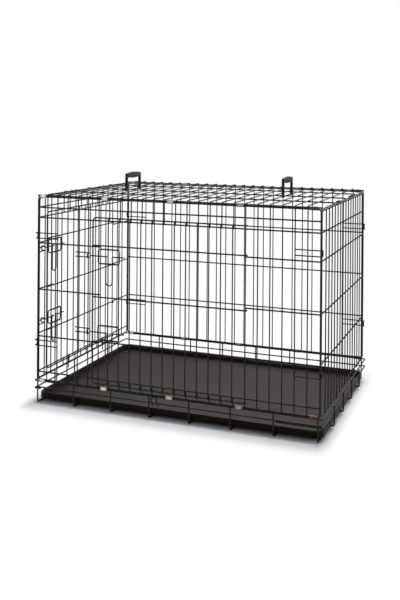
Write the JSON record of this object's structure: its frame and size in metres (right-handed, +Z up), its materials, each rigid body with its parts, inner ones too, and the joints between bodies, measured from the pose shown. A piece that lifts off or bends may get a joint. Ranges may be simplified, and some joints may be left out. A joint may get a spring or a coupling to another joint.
{
  "type": "wire dog crate",
  "caption": "Folding wire dog crate with a slide-bolted front door and end door, swing-up end panels, push-on carry handles and a lift-out plastic tray.",
  "frame": {"origin": "on the floor under the middle of the whole crate's box", "axes": "+X along the crate towards the end without a door, +Y from the front door to the back, +Z up"},
  "size_m": [1.119, 0.7426, 0.8348],
  "materials": {
    "black_wire": "satin black coating",
    "clip_steel": "bright plated sheet",
    "handle_plastic": "fine moulded grain",
    "tray_plastic": "satin moulded plastic"
  },
  "bodies": {
    "crate": {"floor_cross_wires": "black_wire", "floor_long_wires": "black_wire", "lip_top_rail": "black_wire", "lip_front_rail": "black_wire", "lip_wrap_rail": "black_wire", "lip_stay_hook": "black_wire", "front_frame": "black_wire", "front_uprights": "black_wire", "front_rails": "black_wire", "front_bolt_keepers": "black_wire", "front_catches": "black_wire", "back_frame": "black_wire", "back_uprights": "black_wire", "back_rails": "black_wire", "back_catches": "black_wire", "top_long_wires": "black_wire", "top_cross_wires": "black_wire", "top_end_wires": "black_wire", "front_bottom_clips": "clip_steel", "front_top_clips": "clip_steel", "back_bottom_clips": "clip_steel", "back_top_clips": "clip_steel"},
    "front_door": {"front_door_frame": "black_wire", "front_door_rails": "black_wire", "front_door_uprights": "black_wire", "front_bolt_guides": "black_wire"},
    "front_bolt_upper": {"front_bolt_upper": "black_wire"},
    "front_bolt_lower": {"front_bolt_lower": "black_wire"},
    "left_end": {"left_frame": "black_wire", "left_uprights": "black_wire", "left_rails": "black_wire", "left_hangers": "black_wire", "left_foot_hooks": "black_wire", "end_bolt_keepers": "black_wire"},
    "end_door": {"end_door_frame": "black_wire", "end_door_rails": "black_wire", "end_door_uprights": "black_wire", "end_bolt_guides": "black_wire"},
    "end_bolt_upper": {"end_bolt_upper": "black_wire"},
    "end_bolt_lower": {"end_bolt_lower": "black_wire"},
    "right_end": {"right_frame": "black_wire", "right_uprights": "black_wire", "right_rails": "black_wire", "right_hangers": "black_wire", "right_foot_hooks": "black_wire"},
    "left_handle": {"left_handle": "handle_plastic"},
    "right_handle": {"right_handle": "handle_plastic"},
    "tray": {"tray": "tray_plastic"}
  },
  "joints": [
    {"name": "front_door_hinge", "type": "hinge", "parent": "crate", "child": "front_door", "pos_m": [0.28419, -0.34566, 0.395], "axis": [0, 0, 1], "range_deg": [0, 155]},
    {"name": "left_end_fold", "type": "hinge", "parent": "crate", "child": "left_end", "pos_m": [-0.52901, 0.00984, 0.7563], "axis": [0, 1, 0], "range_deg": [-80, 0]},
    {"name": "right_end_fold", "type": "hinge", "parent": "crate", "child": "right_end", "pos_m": [0.54099, 0.00984, 0.7563], "axis": [0, -1, 0], "range_deg": [-86, 0]},
    {"name": "end_door_hinge", "type": "hinge", "parent": "left_end", "child": "end_door", "pos_m": [-0.53381, 0.22453, 0.395], "axis": [0, 0, -1], "range_deg": [0, 155]},
    {"name": "front_bolt_upper_slide", "type": "slide", "parent": "front_door", "child": "front_bolt_upper", "axis": [-1, 0, 0], "range_m": [0, 0.026]},
    {"name": "front_bolt_lower_slide", "type": "slide", "parent": "front_door", "child": "front_bolt_lower", "axis": [-1, 0, 0], "range_m": [0, 0.026]},
    {"name": "end_bolt_upper_slide", "type": "slide", "parent": "end_door", "child": "end_bolt_upper", "axis": [0, -1, 0], "range_m": [0, 0.026]},
    {"name": "end_bolt_lower_slide", "type": "slide", "parent": "end_door", "child": "end_bolt_lower", "axis": [0, -1, 0], "range_m": [0, 0.026]},
    {"name": "left_handle_swing", "type": "hinge", "parent": "crate", "child": "left_handle", "pos_m": [-0.31501, 0.00984, 0.7658], "axis": [0, 1, 0], "range_deg": [-78, 78]},
    {"name": "right_handle_swing", "type": "hinge", "parent": "crate", "child": "right_handle", "pos_m": [0.32699, 0.00984, 0.7658], "axis": [0, 1, 0], "range_deg": [-78, 78]},
    {"name": "tray_lift", "type": "slide", "parent": "crate", "child": "tray", "axis": [0, 0, 1], "range_m": [0, 0.028]}
  ]
}
